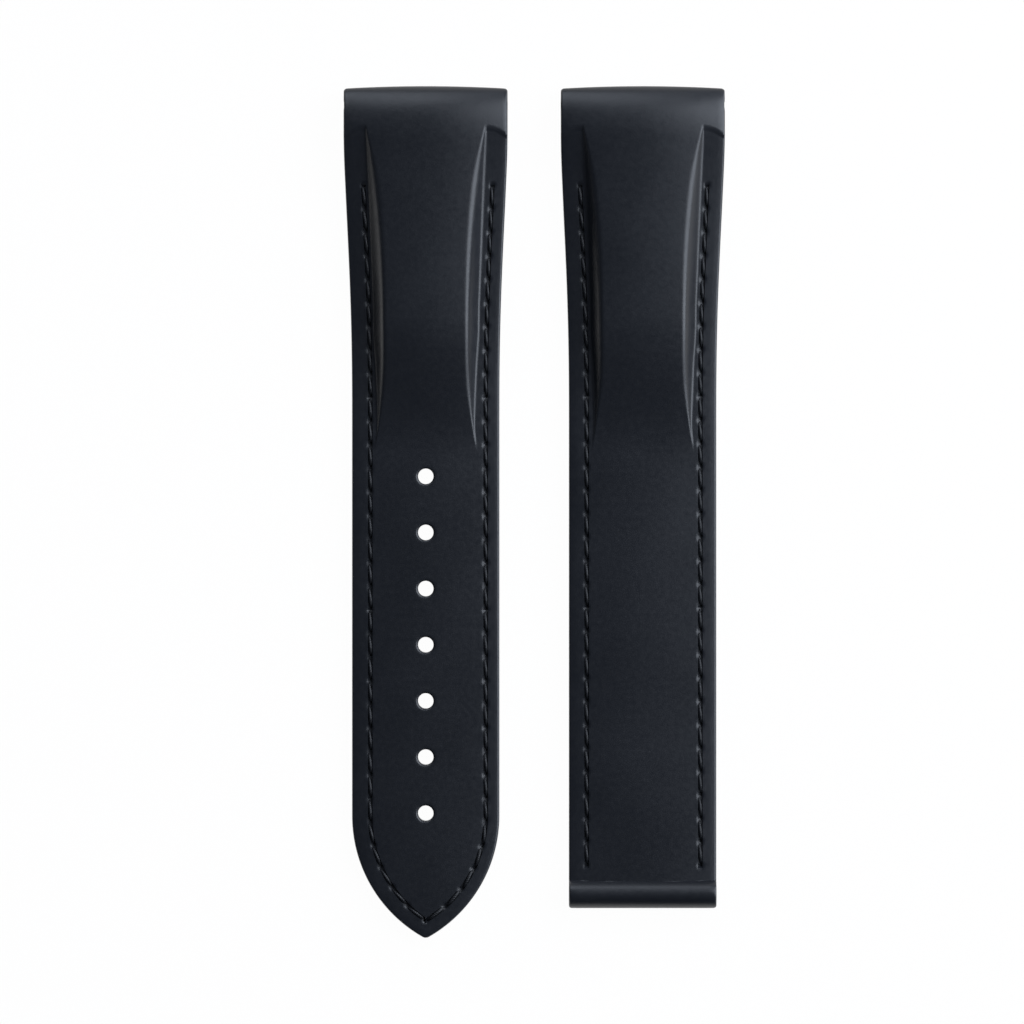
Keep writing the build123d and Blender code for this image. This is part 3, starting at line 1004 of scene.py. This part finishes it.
# %% Drill round holes
PLAY = 0.01
ACROSS, UPWARD = (1, 0, 0), (0, 0, 1)


def drill_rod(centre, axis, radius, reach):
    """A round rod to drill with, given in mm by its centre, direction, radius and half length."""
    turn = Vector((0, 0, 1)).rotation_difference(Vector(axis)).to_matrix().to_4x4()
    turn.translation = Vector(centre) * MM
    sheet = bmesh.new()
    bmesh.ops.create_cone(sheet, cap_ends=True, segments=64, radius1=radius * MM,
                          radius2=radius * MM, depth=2 * reach * MM, matrix=turn)
    mesh = bpy.data.meshes.new("drill")
    sheet.to_mesh(mesh)
    sheet.free()
    return shown(mesh, "drill")


def carve(piece, rods):
    """Drills round holes one after the other, so that wide and narrow rods may overlap."""
    for rod in rods:
        drill = drill_rod(*rod)
        cut = piece.modifiers.new("Drill", "BOOLEAN")
        cut.operation, cut.object, cut.solver = "DIFFERENCE", drill, "EXACT"
        as_plain_mesh(piece)
        bpy.data.objects.remove(drill)


# %% [markdown]
# ## The cover
# The cover is the moulded rubber upper: a full-width block at the lugs, a raised middle that
# runs out towards the holes, and a thin margin on both sides that carries the seam. It is
# what the photograph shows, so all the detail is here.

# %% Make the covers
def skin(half, number, layer, edge, rim, ends, facing):
    """One length of a skin: its plan, lifted by the tree of its layer."""
    cuts = [ends[0], *half.splits, 2 * NEVER if half.pointed else ends[1]]
    plan = plan_of(half, cuts[number], cuts[number + 1], edge, rim, ends)
    name = f"{half.name}_{layer}_skin_{LENGTHS[number]}"
    piece = shown(plan.mesh(name), name)
    tree, identifiers = trees[layer]
    values = sizes_for(half, edge, facing)
    return grown(piece, tree, identifiers, values, finishes[layer])


def tube_drills(half, number, layer):
    """The tunnel of a length's tube, and the wider room that the tape takes round its middle."""
    if number == 0 and layer == "cover":
        reach, height, radius = size.lug_tube_reach, size.nose_height, size.lug_tube_radius
    elif number == 2 and not half.pointed:
        reach, height, radius = half.bead_reach, size.bead_radius, size.clasp_tube_radius
    else:
        return []
    centre = (half.aside, LUG_Y - reach, height)
    wide = radius + size.tape_thickness + PLAY
    return [(centre, ACROSS, radius + PLAY, size.lug_half + 2.0),
            (centre, ACROSS, wide, size.tape_half + 3 * PLAY)]


def make_skins(layer, edge, rim, margins, facing):
    """Makes one layer of both halves, which starts and stops a margin short of the ends."""
    for half in halves:
        ends = (margins[0], half.length - margins[1])
        for number in range(3):
            piece = skin(half, number, layer, edge, rim, ends, facing)
            dress(piece, half, number, layer, tube_drills(half, number, layer))


make_skins("cover", size.edge_radius, size.hole_rim, (0.0, 0.0), -1.0)

# %% [markdown]
# ## The lining
# The lining is the thin sheet on the wrist face. It is made like the cover, but its outer
# face looks down, and its only relief is the groove of the lower thread.

# %% Make the linings
make_skins("lining", size.under_edge_radius, size.under_rim,
           (LINING_START, LINING_END_DROP), 1.0)

# %% [markdown]
# ## The stitches
# A lockstitch shows as short strands that lean a little and dive into needle holes, where
# the thread pulls the rubber in. The strands of this strap are as dark as the rubber. A row
# is a path with a point at each needle hole and at each middle. A node tree sets one small
# strand on every middle, turns it along the path, and leans each by its own small amount.
# Modelling the strands one by one would look just as good, but it takes hundreds of places.

# %% Make the threads' finish
def thread_finish(name, dark, light, roughness):
    """Waxed twisted thread: fine plies that wind along the strand."""
    material, board, place = new_finish(name)
    along, round_it = note_of(board, "strand_along"), note_of(board, "strand_turn")
    plies = (along * 5.0 + round_it * 3.0) * (2.0 * math.pi)
    ply = plies.math("SINE", plies) * 0.5 + 0.5
    fuzz = noise(board, place, 9000.0, 2.0)
    colour = tinted(board, held(ply * 0.6 + fuzz * 0.4), dark, light)
    normal = bumped(board, ply * 0.8 + fuzz * 0.2, 0.5, 0.00004)
    surface(board, colour, held(roughness + (fuzz - 0.5) * 0.15), normal, 0.35)
    return material


needle = thread_finish("needle_thread", (0.0030, 0.0035, 0.0048), (0.0075, 0.0085, 0.0110), 0.48)
bobbin = thread_finish("bobbin_thread", (0.0090, 0.0100, 0.0125), (0.0165, 0.0175, 0.0215), 0.6)
print("threads:", needle.name, "and", bobbin.name)

# %% Build the tree that sews
STITCH_GAP = 0.22
STRAND = {
    "strand_length": size.stitch_pitch - STITCH_GAP, "strand_width": 0.44,
    "strand_thickness": 0.36, "dive": 0.34, "slant": 5.0, "loose": 1.2, "upward": 1.0,
}
BELOW = {"strand_thickness": 0.26, "dive": 0.12, "upward": -1.0}


def stitch_tree():
    """Sets a strand on every second point of a path, along it and a little aslant."""
    board, s, shape, finish, identifiers = open_tree("Sewing", STRAND)
    ball = board.term("GeometryNodeMeshUVSphere", None, {"Segments": 8, "Rings": 9, "Radius": 1.0})
    x, y, z = board.split(board.term("GeometryNodeInputPosition"))
    turn = y.math("ARCTAN2", y, x) / (2.0 * math.pi)
    taper = (1.0 - z * z * 0.25) * MM
    inputs = {
        0: z * s.strand_length * (0.5 * MM),
        1: y * s.strand_width * 0.5 * taper,
        2: (x * s.strand_thickness * 0.5 * taper - s.dive * z * z * z * z * MM) * s.upward,
    }
    for name, value in (("strand_along", z), ("strand_turn", turn)):
        ball = board.term("GeometryNodeStoreNamedAttribute", {"data_type": "FLOAT"},
                          {"Geometry": ball, "Name": name, "Value": value})
    drawn_out = board.term("ShaderNodeCombineXYZ", None, inputs)
    formed = board.term("GeometryNodeSetPosition", None,
                        {"Geometry": ball, "Position": drawn_out})
    smooth = board.term("GeometryNodeSetShadeSmooth", None, {"Geometry": formed})
    path = board.term("GeometryNodeMeshToCurve", None, {"Mesh": shape})
    number = board.term("GeometryNodeSplineParameter", output=2)
    odd = number.math("MODULO", number, 2.0)
    tangent = board.term("GeometryNodeInputTangent")
    lie = board.term("FunctionNodeAlignRotationToVector", {"axis": "X"}, {"Vector": tangent})
    lie = board.term("FunctionNodeAlignRotationToVector", {"axis": "Z", "pivot_axis": "X"},
                     {"Rotation": lie, "Vector": (0.0, 0.0, 1.0)})
    spread = board.add("FunctionNodeRandomValue", {"data_type": "FLOAT"},
                       {"Min": -1.0, "Max": 1.0, "Seed": 11})
    value = next(out for out in spread.outputs if out.enabled)
    lean = (s.slant + Term(board, value) * s.loose) * (math.pi / 180.0) * s.upward
    twist = board.term("ShaderNodeCombineXYZ", None, {2: lean})
    local = board.term("FunctionNodeEulerToRotation", None, {0: twist})
    turned = board.term("FunctionNodeRotateRotation", {"rotation_space": "LOCAL"},
                        {"Rotation": lie, "Rotate By": local})
    sewn = board.term("GeometryNodeInstanceOnPoints", None,
                      {"Points": path, "Selection": odd, "Instance": smooth, "Rotation": turned})
    close_tree(board, sewn, finish)
    return board.tree, identifiers


sewing, sewing_inputs = stitch_tree()
print("sewing tree:", len(sewing.nodes), "nodes")

# %% Find the seams' paths
SUNK = 0.11


def seam_point(half, side, along):
    """Where the row of one side runs at a length along it: its x and its reach."""
    reach = size.seam_start + along
    if not half.pointed or reach <= half.closing:
        return float(half_width(reach)) - seam_inset_at(half, side, 0.0), reach
    turn = (reach - half.closing) / (size.tail_radius - half.seam_inset)
    radius = size.tail_radius - seam_inset_at(half, side, turn)
    return radius * math.cos(turn) - size.tail_offset, half.closing + radius * math.sin(turn)


def seam_path(half, first, last, height):
    """A path through needle holes and stitch middles, on both sides, from one to another."""
    points, edges = [], []
    for side in (1, -1):
        start = len(points)
        for k in range(2 * first, 2 * last + 1):
            x, reach = seam_point(half, side, k * half.pitch / 2)
            z = height(half, x, reach)
            points.append(((side * x + half.aside) * MM, (LUG_Y - reach) * MM, z * MM))
        edges += [(k, k + 1) for k in range(start, len(points) - 1)]
    mesh = bpy.data.meshes.new("seam")
    mesh.from_pydata(points, edges, [])
    return mesh


def on_cover(half, x, reach):
    """Height of the middle of the strands on the cover: they stand a little proud of it."""
    return float(top_height(reach, abs(x), half.sizes)) - SUNK


def under_lining(half, x, reach):
    """Height of the middle of the strands under the lining, which lie in their groove."""
    return float(underside(reach, half.sizes)) + size.under_groove_depth - SUNK


# %% Sew the rows
for half in halves:
    stops = [0, *half.split_stitches, half.stitches]
    for number in range(3):
        for layer, height, finish, own in (
            ("needle_thread", on_cover, needle, {}), ("bobbin_thread", under_lining, bobbin, BELOW),
        ):
            name = f"{half.name}_{layer}_row_{LENGTHS[number]}"
            piece = shown(seam_path(half, stops[number], stops[number + 1], height), name)
            values = {**STRAND, "strand_length": half.pitch - STITCH_GAP, **own}
            grown(piece, sewing, sewing_inputs, values, finish)
            dress(piece, half, number, layer)

# %% [markdown]
# ## The layers inside
# Inside runs a woven tape that takes the pull. It loops round the metal tube at each bar
# end. A strip that is swept along its path shows how it is made: laid flat, turned round the
# tube, and lapped back on itself. The adjusting holes are drilled through it where the cover
# and the lining have their rings. In the pointed half it stops short of the tip, so that its
# room in the cover stays closed there.

# %% Make the tape's weave
THREAD_PITCH = 0.0005


def tape_weave():
    """Polyester tape: warp and weft that cross in a plain weave."""
    material, board, place = new_finish("tape_weave")
    x, y, _ = board.split(place)
    threads = 2.0 * math.pi / THREAD_PITCH
    warp, weft = x * threads, y * threads
    warp, weft = warp.math("SINE", warp), weft.math("SINE", weft)
    weave = warp * weft * 0.5 + 0.5
    fuzz = noise(board, place, 7000.0, 2.0)
    tone = held(weave * 0.7 + fuzz * 0.3)
    colour = tinted(board, tone, (0.011, 0.012, 0.014), (0.030, 0.032, 0.036))
    normal = bumped(board, weave, 0.6, 0.00008)
    surface(board, colour, held(0.75 + (fuzz - 0.5) * 0.2), normal, 0.3)
    return material


# %% Find the tapes' paths
TAPE_STEP = 0.8
LOOP_STEPS = 25
LUG_LOOP, CLASP_LOOP_END = 300, 255


def round_tube(centre_reach, centre_height, radius, first, last, sense):
    """Points of the tape's middle round a tube, by angles in degrees from straight down."""
    turns = np.radians(np.linspace(first, last, LOOP_STEPS))
    return [(centre_reach - sense * radius * math.sin(t), centre_height - radius * math.cos(t))
            for t in turns]


def tape_path(half, number):
    """The middle of the tape in one length of the strap, as reach and height."""
    flat = size.lining_thickness + size.tape_thickness / 2
    cuts = [size.lug_tube_reach, *half.splits]
    cuts.append(half.sizes.tape_last if half.pointed else half.bead_reach)
    path = [(reach, flat) for reach in filled([cuts[number], cuts[number + 1]], TAPE_STEP)]
    if number == 0:
        radius = size.lug_tube_radius + size.tape_thickness / 2
        loop = round_tube(cuts[0], size.nose_height, radius, LUG_LOOP, 0, 1)
        path = loop + path[1:]
    if number == 2 and not half.pointed:
        radius = size.clasp_tube_radius + size.tape_thickness / 2
        drop = (size.bead_radius - flat) / radius
        start = -math.degrees(math.acos(drop))
        loop = round_tube(half.bead_reach, size.bead_radius, radius, start, CLASP_LOOP_END, -1)
        path = [point for point in path if point[0] < loop[0][0] - 0.2] + loop
    return path


# %% Sweep and drill the tapes
def swept_tape(name, half, path):
    """A flat tape along a path, with square edges."""
    points, faces = [], []
    thick = size.tape_thickness / 2 - PLAY
    for k, (reach, height) in enumerate(path):
        before, after = path[max(k - 1, 0)], path[min(k + 1, len(path) - 1)]
        run = Vector((after[0] - before[0], after[1] - before[1])).normalized()
        across = Vector((-run.y, run.x)) * thick
        for x, sign in ((-1, -1), (1, -1), (1, 1), (-1, 1)):
            at, z = reach + sign * across.x, height + sign * across.y
            points.append(((half.aside + x * size.tape_half) * MM, (LUG_Y - at) * MM, z * MM))
    for k in range(0, len(points) - 4, 4):
        faces += [(k + a, k + (a + 1) % 4, k + 4 + (a + 1) % 4, k + 4 + a) for a in range(4)]
    faces += [(3, 2, 1, 0), tuple(len(points) - 4 + a for a in range(4))]
    return built(name, points, faces)


DRILL_MIDDLE, DRILL_HALF = 1.0, 3.0


def hole_drills(half, number):
    """Drills for the adjusting holes of one length, with a little play."""
    first, last = [0.0, *half.splits, half.length][number:number + 2]
    radius = size.hole_radius + 2 * PLAY
    return [((half.aside, LUG_Y - hole, DRILL_MIDDLE), UPWARD, radius, DRILL_HALF)
            for hole in half.holes if first < hole < last]


weave = tape_weave()
for half in halves:
    for number in range(3):
        piece = swept_tape(f"{half.name}_tape_{LENGTHS[number]}", half, tape_path(half, number))
        piece.data.materials.append(weave)
        dress(piece, half, number, "core_tape", hole_drills(half, number))

# %% [markdown]
# The padding is the filler that lifts the raised middle. It is cut from firm foam and
# pressed into the moulded cover, so it has the cover's own crowned form, one wall inside it:
# full in the middle, thin along its sides, and drawn in at both ends.

# %% Make the foam's finish
def padding_foam():
    """Closed-cell foam with fine pores."""
    material, board, place = new_finish("padding_foam")
    cells = cell_pattern(board, place, 3400.0)
    drift = noise(board, place, 120.0, 3.0)
    tone = held(cells * 0.8 + drift * 0.3)
    colour = tinted(board, tone, (0.018, 0.018, 0.020), (0.055, 0.056, 0.060))
    normal = bumped(board, cells, 0.7, 0.00008)
    surface(board, colour, held(0.85 + (drift - 0.5) * 0.1), normal, 0.25)
    return material


# %% Shape the padding
PAD_PLAY = 0.05
PAD_ROUND_LUG, PAD_ROUND_BAND = 0.7, 1.6
PAD_SOFTNESS = 0.7


def padding_mesh(half, name):
    """A closed crowned form under the raised middle."""
    first, last = size.pad_first + PAD_PLAY, size.pad_last - PAD_PLAY
    bottom = size.lining_thickness + size.tape_thickness + 2 * PLAY
    across = np.sin(np.linspace(-math.pi / 2, math.pi / 2, 33))
    points, faces = [], []
    rows = filled([first, first + 1.0, last - 2.0, last], FINE_STEP)
    for reach in rows:
        room = float(crown_height(reach)) - size.cover_wall - bottom - 4 * PLAY
        crest = float(crest_half_width(reach)) - size.flank_wall
        ends = min((reach - first) / PAD_ROUND_LUG, (last - reach) / PAD_ROUND_BAND, 1.0)
        full = math.sqrt(max(1 - (1 - ends) ** 2, 0.0))
        slope = max(float(flank_slope(reach)), 0.4)
        foot = (crest + room / slope) * (0.93 + 0.07 * full)
        for level in (1, 0):
            for u in across:
                x = foot * float(u)
                side = (foot - abs(x)) * slope
                top = float(soft_least(side, room, min(PAD_SOFTNESS, room))) * full
                z = bottom + level * max(top, 0.0)
                points.append(((half.aside + x) * MM, (LUG_Y - reach) * MM, z * MM))
    count = len(across)
    for k in range(len(rows) - 1):
        for level in range(2):
            a = (2 * k + level) * count
            b = a + 2 * count
            faces += [(a + j, a + j + 1, b + j + 1, b + j) for j in range(count - 1)]
    return built(name, points, faces)


foam = padding_foam()
for half in halves:
    piece = padding_mesh(half, f"{half.name}_padding_filler")
    piece.data.materials.append(foam)
    dress(piece, half, 0, "padding")

# %% [markdown]
# ## The metal tubes and the firm core
# The tubes and the firm block behind them don't bend, so the CAD solids stay and only get a
# finish: drawn steel with fine lines along the tube, and a matt filled rubber.

# %% Finish the rigid pieces
def drawn_steel():
    """Steel tube with fine drawing lines along it and a slightly uneven gloss."""
    material, board, place = new_finish("drawn_steel")
    stretch = board.term("ShaderNodeMapping", None,
                         {"Vector": place, "Scale": (60.0, 4000.0, 4000.0)})
    lines = noise(board, stretch, 1.0, 3.0)
    cloud = noise(board, place, 800.0, 2.0)
    colour = tinted(board, cloud, (0.50, 0.50, 0.51), (0.62, 0.62, 0.63))
    normal = bumped(board, lines, 0.25, 0.00002)
    roughness = held(0.26 + (lines - 0.5) * 0.2 + (cloud - 0.5) * 0.1)
    surface(board, colour, roughness, normal, metallic=1.0)
    return material


def core_rubber():
    """Hard filled rubber, matt, with the marks of its mould."""
    material, board, place = new_finish("filled_rubber")
    drift = noise(board, place, 300.0, 3.0)
    grain = noise(board, place, 5000.0, 2.0)
    colour = tinted(board, drift, (0.012, 0.012, 0.014), (0.022, 0.022, 0.025))
    normal = bumped(board, grain, 0.3, 0.00004)
    surface(board, colour, held(0.7 + (grain - 0.5) * 0.2), normal, 0.4)
    return material


rigid = {"lug_tube": drawn_steel(), "lug_core": core_rubber()}
rigid["clasp_tube"] = rigid["lug_tube"]
for name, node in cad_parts.items():
    for ending, finish in rigid.items():
        if name.endswith(ending):
            node.data.materials.clear()
            node.data.materials.append(finish)
            print(name, "->", finish.name)

# %% [markdown]
# ## Floor and light
# The photograph was taken on a pure white ground with a large soft lamp to the right, which
# lights the right-hand flank and edge of each half, and a weaker one behind, which catches
# the front of the lug ends. Flat rubber mirrors what is overhead, and it is nearly black in
# the photograph, so the ceiling is dark. The low walls are pale on the right and dark
# elsewhere, because glossy rubber seen from the side would mirror a pale wall like metal.
# Everything below the horizon, and a thin line above it, is white. The floor stops the light
# and takes the shadows like any pale floor, but the camera looks through it at that white, so
# that a half that bends down past the floor can still be seen.

# %% Lay the floor
CLEARNESS = 0.98
FLOOR_HALF = 3.0
FLOOR_DROP = 0.00005


def white_ground():
    """A plain pale floor for the light, and clear to the camera but for its shadows."""
    material, board, _ = new_finish("floor_white")
    path = board.add("ShaderNodeLightPath")
    seen = held(Term(board, path.outputs["Is Camera Ray"])
                + Term(board, path.outputs["Is Glossy Ray"])
                + Term(board, path.outputs["Is Transmission Ray"]))
    plain = board.term("ShaderNodeBsdfDiffuse", None, {"Color": (0.8, 0.8, 0.8, 1.0)})
    clear = board.term("ShaderNodeBsdfTransparent", None, {"Color": (1.0, 1.0, 1.0, 1.0)})
    shaded = board.term("ShaderNodeBsdfDiffuse", None, {"Color": (0.9, 0.9, 0.9, 1.0)})
    kept = board.term("ShaderNodeMixShader", None, {0: CLEARNESS, 1: shaded, 2: clear})
    both = board.term("ShaderNodeMixShader", None, {0: seen, 1: plain, 2: kept})
    board.add("ShaderNodeOutputMaterial", None, {"Surface": both})
    return material


corners = [(x * FLOOR_HALF, y * FLOOR_HALF, -FLOOR_DROP)
           for x, y in ((-1, -1), (1, -1), (1, 1), (-1, 1))]
floor = built("floor", corners, [(0, 1, 2, 3)])
floor.data.materials.append(white_ground())
print("floor laid")

# %% Hang the lamps
def hang_lamp(name, place, width, height, watts):
    """A rectangular soft lamp that looks at the strap."""
    data = bpy.data.lights.new(name, "AREA")
    data.shape, data.size, data.size_y, data.energy = "RECTANGLE", width, height, watts
    data.color = (0.82, 0.89, 1.0)
    lamp = bpy.data.objects.new(name, data)
    lamp.location = place
    lamp.rotation_euler = Vector(place).to_track_quat("Z", "Y").to_euler()
    bpy.context.scene.collection.objects.link(lamp)
    print(name, watts, "W")


hang_lamp("lamp right", (0.45, 0.19, 0.39), 0.75, 0.62, 7.2)
hang_lamp("lamp behind", (-0.13, 0.44, 0.27), 0.36, 0.30, 0.8)

# %% Surround it with low walls under a dark ceiling
world = bpy.data.worlds.new("Studio")
bpy.context.scene.world = world
world.use_nodes = True
world.node_tree.nodes.clear()
board = Board(world.node_tree)
to_right, to_back, height = board.split(board.term("ShaderNodeTexCoord", output=0))
lit_side = eased(to_right * 0.85 + to_back * 0.2 + 0.15)
walls = tinted(board, lit_side, (0.10, 0.11, 0.13), (0.74, 0.79, 0.86))
ceiling = eased((height - 0.3) / 0.15)
tone = tinted(board, ceiling, walls, (0.045, 0.050, 0.058))
above_horizon = eased((height - 0.04) / 0.02)
tone = tinted(board, above_horizon, (1.0, 1.0, 1.0), tone)
light = board.term("ShaderNodeBackground", None, {0: tone, 1: 1.0})
board.add("ShaderNodeOutputWorld", None, {"Surface": light})
bpy.context.scene.view_settings.view_transform = "Standard"
print("the world takes", len(board.tree.nodes), "nodes")
